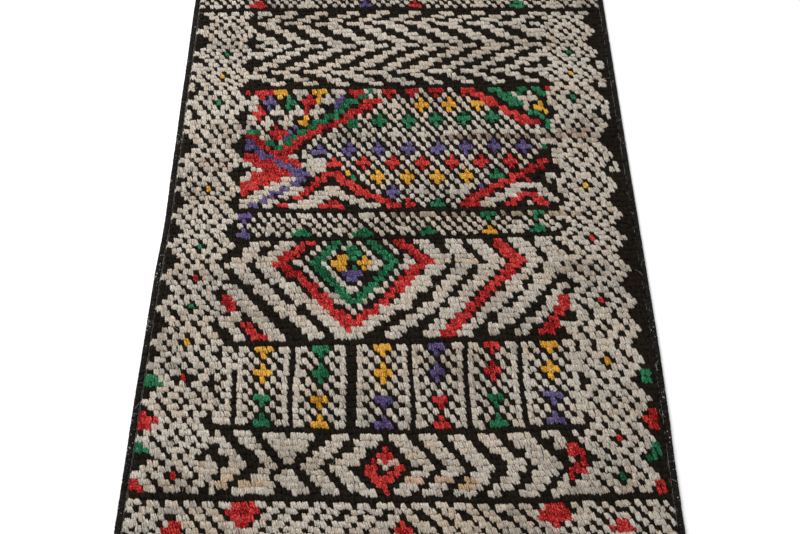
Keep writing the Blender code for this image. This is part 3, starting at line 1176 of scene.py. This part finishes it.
def foundation_material(groups):
    """Dark woven ground: knot backs in the pattern's colours underneath, ribs at the hems."""
    material, tree, shader = new_material("woven_foundation", 0.05, (0.3, 0.25, 0.2))
    weave = group_node(tree, groups["weave"], Knot_Place=attribute(tree, "knot_place"))
    yarn = attribute(tree, "yarn_colour", "Color")
    surface(tree, shader, mix_node(tree, "MIX", weave["Mask"], GROUND, yarn), 0.93)
    fuzz = noise_node(tree, object_place(tree), GROUND_FUZZ, 2.0)
    height = math_node(tree, "MULTIPLY_ADD", fuzz, 0.25, weave["Height"])
    bump(tree, shader, height, 0.0011, 0.9)
    return material


def selvedge_material(groups):
    """Dark wool wound over the edge cords, with pale specks where it is worn."""
    material, tree, shader = new_material("wound_edge", 0.04, (0.2, 0.18, 0.16))
    fibres, tone = wool(tree, groups, EDGE_YARN, EDGE_LIT)
    flecks = group_node(tree, groups["flecks"], Place=object_place(tree), Amount=FLECK_AMOUNT)
    colour = mix_node(tree, "MIX", flecks["Mask"], tone["Colour"], EDGE_FLECK)
    surface(tree, shader, colour, tone["Roughness"])
    bump(tree, shader, fibres["Height"], YARN_RELIEF, 0.8)
    return material


def hair_material(groups):
    """Loose pale fibres that have worked out of the pile."""
    material, tree, shader = new_material("loose_fibre", 0.1, (0.7, 0.65, 0.6))
    place = stretch_node(tree, object_place(tree), HAIR_FINENESS)
    fibres = group_node(tree, groups["fibres"], Fibre_Place=place)
    surface(tree, shader, mix_node(tree, "MIX", fibres["Fibre Mask"], HAIR_DARK, HAIR_PALE), 0.9)
    return material


def floor_material():
    material, tree, shader = new_material("pale_floor", 0.0, (1.0, 1.0, 1.0))
    tone = noise_node(tree, object_place(tree), (2.0, 2.0, 2.0), 2.0)
    surface(tree, shader, mix_node(tree, "MIX", tone, *FLOOR_TONES), 0.9)
    return material


# The woven ground, the wound edges and the loose fibres.


def make_foundation(knots):
    """A sheet with a cell for each knot and a few rows of plain weave at the ends."""
    rows = ROW_COUNT + 2 * HEM_ROWS
    deselect()
    bpy.ops.mesh.primitive_grid_add(x_subdivisions=KNOTS_ACROSS, y_subdivisions=rows, size=1.0)
    sheet = bpy.context.object
    sheet.name = "foundation"
    data = sheet.data
    places = np.array([v.co[:] for v in data.vertices])
    across = (places[:, 0] + 0.5) * KNOTS_ACROSS
    row = (0.5 - places[:, 1]) * rows - HEM_ROWS
    x, y = knot_places(across, np.clip(row, 0, ROW_COUNT), knots.edges)
    past_far = np.clip(-row / HEM_ROWS, 0, 1)
    past_near = np.clip((row - ROW_COUNT) / HEM_ROWS, 0, 1)
    y = y + past_far * (BODY_HIGH.y - FAR_END) - past_near * (NEAR_END - BODY_LOW.y)
    x_left, x_right = np.interp(y, *LEFT_SIDE), np.interp(y, *RIGHT_SIDE)
    x = np.where(across < 0.5, x_left, np.where(across > KNOTS_ACROSS - 0.5, x_right, x))
    z = np.full_like(x, FOUNDATION_THICKNESS)
    data.vertices.foreach_set("co", np.stack([x, y, z], axis=1).ravel())
    colour_backs(data, across, row)
    data.update()
    add_attribute(sheet, "knot_place", np.stack([across, row, 0 * row], axis=1))
    thickness = sheet.modifiers.new("thickness", "SOLIDIFY")
    thickness.thickness = FOUNDATION_THICKNESS
    thickness.offset = -1.0
    bpy.ops.object.modifier_apply(modifier=thickness.name)
    return sheet


def colour_backs(data, across, row):
    """Gives each cell of the sheet its knot's colour, which shows on the back."""
    yarns = np.full((ROW_COUNT + 2 * HEM_ROWS, KNOTS_ACROSS), BLACK)
    yarns[HEM_ROWS : HEM_ROWS + ROW_COUNT] = chart
    colours = np.array([(*yarn[1], 1.0) for yarn in YARNS])
    colours[BLACK, :3] = BLACK_BACKS
    cells = np.empty((len(data.polygons), 4), np.float32)
    for face in data.polygons:
        middle = np.mean([(row[v] + HEM_ROWS, across[v]) for v in face.vertices], axis=0)
        cells[face.index] = colours[yarns[tuple(middle.astype(int))]]
    backs = data.attributes.new("yarn_colour", "FLOAT_COLOR", "FACE")
    backs.data.foreach_set("color", cells.ravel())


# Turns of yarn round the edge cords. Sizes of one turn, and how it varies from the next.
WRAP_PITCH = 0.0043
WRAP_RADIUS = 0.0026
WRAP_FLATNESS = 0.6
WRAP_SECTION = 4
WRAP_SEGMENTS = 10
WRAP_SLANT = math.radians(24)
WRAP_OUT = 0.3 * MM
WRAP_IN = 0.2 * MM
WRAP_SWELL = 0.035
WRAP_SQUASH = 0.98
WRAP_STRAY = 0.25 * MM
WRAP_SHADE = (-0.1, 0.4)


def wrap_points(width, height):
    """Points of one turn: across, along and up from the middle of the cords."""
    turns = np.arange(WRAP_SEGMENTS) * 2 * math.pi / WRAP_SEGMENTS
    sides = np.arange(WRAP_SECTION) * 2 * math.pi / WRAP_SECTION + math.pi / WRAP_SECTION
    turn, side = np.meshgrid(turns, sides, indexing="ij")
    out = WRAP_RADIUS * np.cos(side) * WRAP_FLATNESS
    x = (width / 2 - WRAP_RADIUS * WRAP_FLATNESS + out) * np.cos(turn)
    z = (height / 2 - WRAP_RADIUS * WRAP_FLATNESS + out) * np.sin(turn)
    y = WRAP_RADIUS * np.sin(side) + np.tan(WRAP_SLANT) * x
    return np.stack([x.ravel(), y.ravel(), z.ravel()], axis=1)


def make_selvedge(name, node, line, side):
    """Turns of yarn laid close along one edge of the rug."""
    low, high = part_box(node)
    count = round((high.y - low.y) / WRAP_PITCH)
    points = wrap_points(SELVEDGE_WIDTH, high.z)
    slack = np.tan(WRAP_SLANT) * SELVEDGE_WIDTH / 2 + WRAP_RADIUS
    ys = np.linspace(low.y + slack, high.y - slack, count)
    xs = np.interp(ys, *line) + side * (SELVEDGE_WIDTH / 2 + WRAP_OUT)
    swell = 1 + rng.normal(0, WRAP_SWELL, count)
    sizes = np.stack([swell, np.ones(count), swell * WRAP_SQUASH], axis=1)
    placed = points * sizes[:, None, :]
    placed[:, :, 0] += xs[:, None] - side * WRAP_IN
    placed[:, :, 1] += ys[:, None] + rng.normal(0, WRAP_STRAY, count)[:, None]
    placed[:, :, 2] += high.z / 2
    faces = tube_faces(WRAP_SEGMENTS, WRAP_SECTION, closed=True)
    edge = joined_copies(name, placed, faces.ravel(), np.full(len(faces), 4))
    turn = np.arange(WRAP_SEGMENTS) * SELVEDGE_WIDTH * math.pi / WRAP_SEGMENTS / MM
    turn = np.repeat(turn, WRAP_SECTION)
    fibres = np.stack([points[:, 1] / MM, points[:, 2] / MM, turn], axis=1)
    add_attribute(edge, "fibres", fibres + rng.uniform(0, FIBRE_RANGE, (count, 1, 3)))
    tint = np.zeros((count, len(points), 3))
    tint[:, :, 0] = rng.normal(*WRAP_SHADE, count)[:, None]
    add_attribute(edge, "tint", tint)
    return edge


HAIR_COUNT = 70
HAIR_RADIUS = 0.00016
HAIR_SIDES = 3
HAIR_STEPS = 7
HAIR_LENGTHS = (0.012, 0.032)
HAIR_CURL = 1.6
# Furthest from the middle along the rug; share at the edges; shares of the half width of the rest.
HAIR_SPAN = 0.78
HAIRS_AT_EDGE = 0.45
HAIR_PLACES = (0.1, 0.98)
HAIR_SINK = 0.0006
HAIR_ARCH = 0.0012
HAIR_MARGIN = 0.001


def hair_points(steps):
    """Points of one curled hair at a random place, ring by ring."""
    side = LEFT_SIDE if rng.random() < 0.5 else RIGHT_SIDE
    y = rng.uniform(-HAIR_SPAN, HAIR_SPAN)
    at_edge = rng.random() < HAIRS_AT_EDGE
    x = np.interp(y, *side) * (1.0 if at_edge else rng.uniform(*HAIR_PLACES))
    heading = rng.uniform(0, 2 * math.pi)
    length = rng.uniform(*HAIR_LENGTHS)
    angle = heading + rng.normal(0, HAIR_CURL) * steps
    path_x = x + np.concatenate([[0], np.cumsum(np.cos(angle[1:]))]) * length / HAIR_STEPS
    path_y = y + np.concatenate([[0], np.cumsum(np.sin(angle[1:]))]) * length / HAIR_STEPS
    path_x = np.clip(path_x, cad_box[0].x + HAIR_MARGIN, cad_box[1].x - HAIR_MARGIN)
    path_z = PILE_TOP - HAIR_SINK + HAIR_ARCH * np.sin(steps * math.pi)
    ring = np.arange(HAIR_SIDES) * 2 * math.pi / HAIR_SIDES
    out, up = HAIR_RADIUS * np.cos(ring), HAIR_RADIUS * np.sin(ring)
    ring_x = path_x[:, None] + out * np.sin(angle)[:, None]
    ring_y = path_y[:, None] - out * np.cos(angle)[:, None]
    ring_z = path_z[:, None] + up
    return np.stack([ring_x.ravel(), ring_y.ravel(), ring_z.ravel()], axis=1)


def make_hairs():
    """Fine fibres standing out of the edges and the pile."""
    steps = np.linspace(0, 1, HAIR_STEPS)
    points = np.stack([hair_points(steps) for _ in range(HAIR_COUNT)])
    faces = tube_faces(HAIR_STEPS, HAIR_SIDES, closed=False)[:, [0, 3, 2, 1]]
    last = (HAIR_STEPS - 1) * HAIR_SIDES
    corners = np.concatenate([faces.ravel(), (0, 1, 2, last, last + 2, last + 1)])
    counts = np.array([4] * len(faces) + [HAIR_SIDES, HAIR_SIDES])
    return joined_copies("loose_fibres", points, corners, counts)


# Floor, light and camera.

CAMERA_HEIGHT = 1.820
CAMERA_PLACE = (-0.0004, -1.2917)
CAMERA_PITCH = math.radians(57.0)
CAMERA_TURN = math.radians(-0.027)
CAMERA_FOCAL_PIXELS = 1012.1
PICTURE_WIDTH = 800
SENSOR_WIDTH = 36.0
FLOOR_SIZE = 30.0
STUDIO_STRENGTH = 0.62
# Columns: name, place, size, watts.
LIGHTS = (
    ("key_light", (-1.3, 0.9, 2.3), 1.9, 74.0),
    ("fill_light", (1.6, -1.4, 2.6), 2.4, 8.0),
)


def make_stage():
    deselect()
    bpy.ops.mesh.primitive_plane_add(size=FLOOR_SIZE, location=(0, 0, 0))
    floor = bpy.context.object
    floor.name = "floor"
    floor.data.materials.append(floor_material())
    world = bpy.data.worlds.new("studio")
    bpy.context.scene.world = world
    world.use_nodes = True
    background = world.node_tree.nodes["Background"]
    background.inputs["Color"].default_value = (1.0, 1.0, 1.0, 1.0)
    background.inputs["Strength"].default_value = STUDIO_STRENGTH
    for name, place, size, power in LIGHTS:
        lamp = bpy.data.lights.new(name, "AREA")
        lamp.size = size
        lamp.energy = power
        thing = bpy.data.objects.new(name, lamp)
        bpy.context.scene.collection.objects.link(thing)
        thing.location = place
        thing.rotation_euler = (-Vector(place)).to_track_quat("-Z", "Y").to_euler()


def make_camera():
    data = bpy.data.cameras.new("camera")
    data.sensor_width = SENSOR_WIDTH
    data.lens = CAMERA_FOCAL_PIXELS / PICTURE_WIDTH * SENSOR_WIDTH
    camera = bpy.data.objects.new("camera", data)
    bpy.context.scene.collection.objects.link(camera)
    camera.location = (*CAMERA_PLACE, CAMERA_HEIGHT)
    camera.rotation_euler = (math.pi / 2 - CAMERA_PITCH, 0, CAMERA_TURN)
    bpy.context.scene.camera = camera


def dress_pile(knots, groups):
    """The pile, a piece for each yarn; black and cream, which are most of it, in three strips."""
    tip = model_tip()
    pieces = []
    strip = np.minimum(knots.row * len(PILE_STRIPS) // ROW_COUNT, len(PILE_STRIPS) - 1)
    for yarn, (name, colour, lit, slot) in enumerate(YARNS):
        material = pile_material(name, colour, lit, groups)
        strands = BLACK_STRANDS if yarn == BLACK else STRANDS
        strips = enumerate(PILE_STRIPS) if yarn in (BLACK, CREAM) else [(None, "all")]
        for number, strip_name in strips:
            chosen = knots.yarn == yarn
            if number is not None:
                chosen = chosen & (strip == number)
            pile = stand_tips("pile_" + name + "_" + strip_name, knots, chosen, tip, strands)
            pile.data.materials.append(material)
            pieces.append(pile)
    bpy.data.objects.remove(tip, do_unlink=True)
    return pieces


def dress_edges(groups):
    material = selvedge_material(groups)
    pieces = []
    for name, line, side in (("left", LEFT_SIDE, -1), ("right", RIGHT_SIDE, 1)):
        node = "selvedge_" + name
        edge = make_selvedge("wound_edge_" + name, node, line, side)
        edge.data.materials.append(material)
        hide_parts(node)
        pieces.append(edge)
    return pieces


def dress_rug():
    tie_pattern()
    knots = Knots()
    groups = {
        "fibres": make_fibre_group(),
        "tone": make_tone_group(),
        "weave": make_weave_group(),
        "flecks": make_fleck_group(),
    }
    pieces = dress_pile(knots, groups)
    foundation = make_foundation(knots)
    foundation.data.materials.append(foundation_material(groups))
    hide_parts("rug_body")
    pieces.extend(dress_edges(groups))
    hairs = make_hairs()
    hairs.data.materials.append(hair_material(groups))
    pieces.append(hairs)
    for piece in [foundation, *pieces]:
        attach(piece, "root")


dress_rug()
make_stage()
make_camera()
bpy.context.scene.view_settings.view_transform = "Standard"
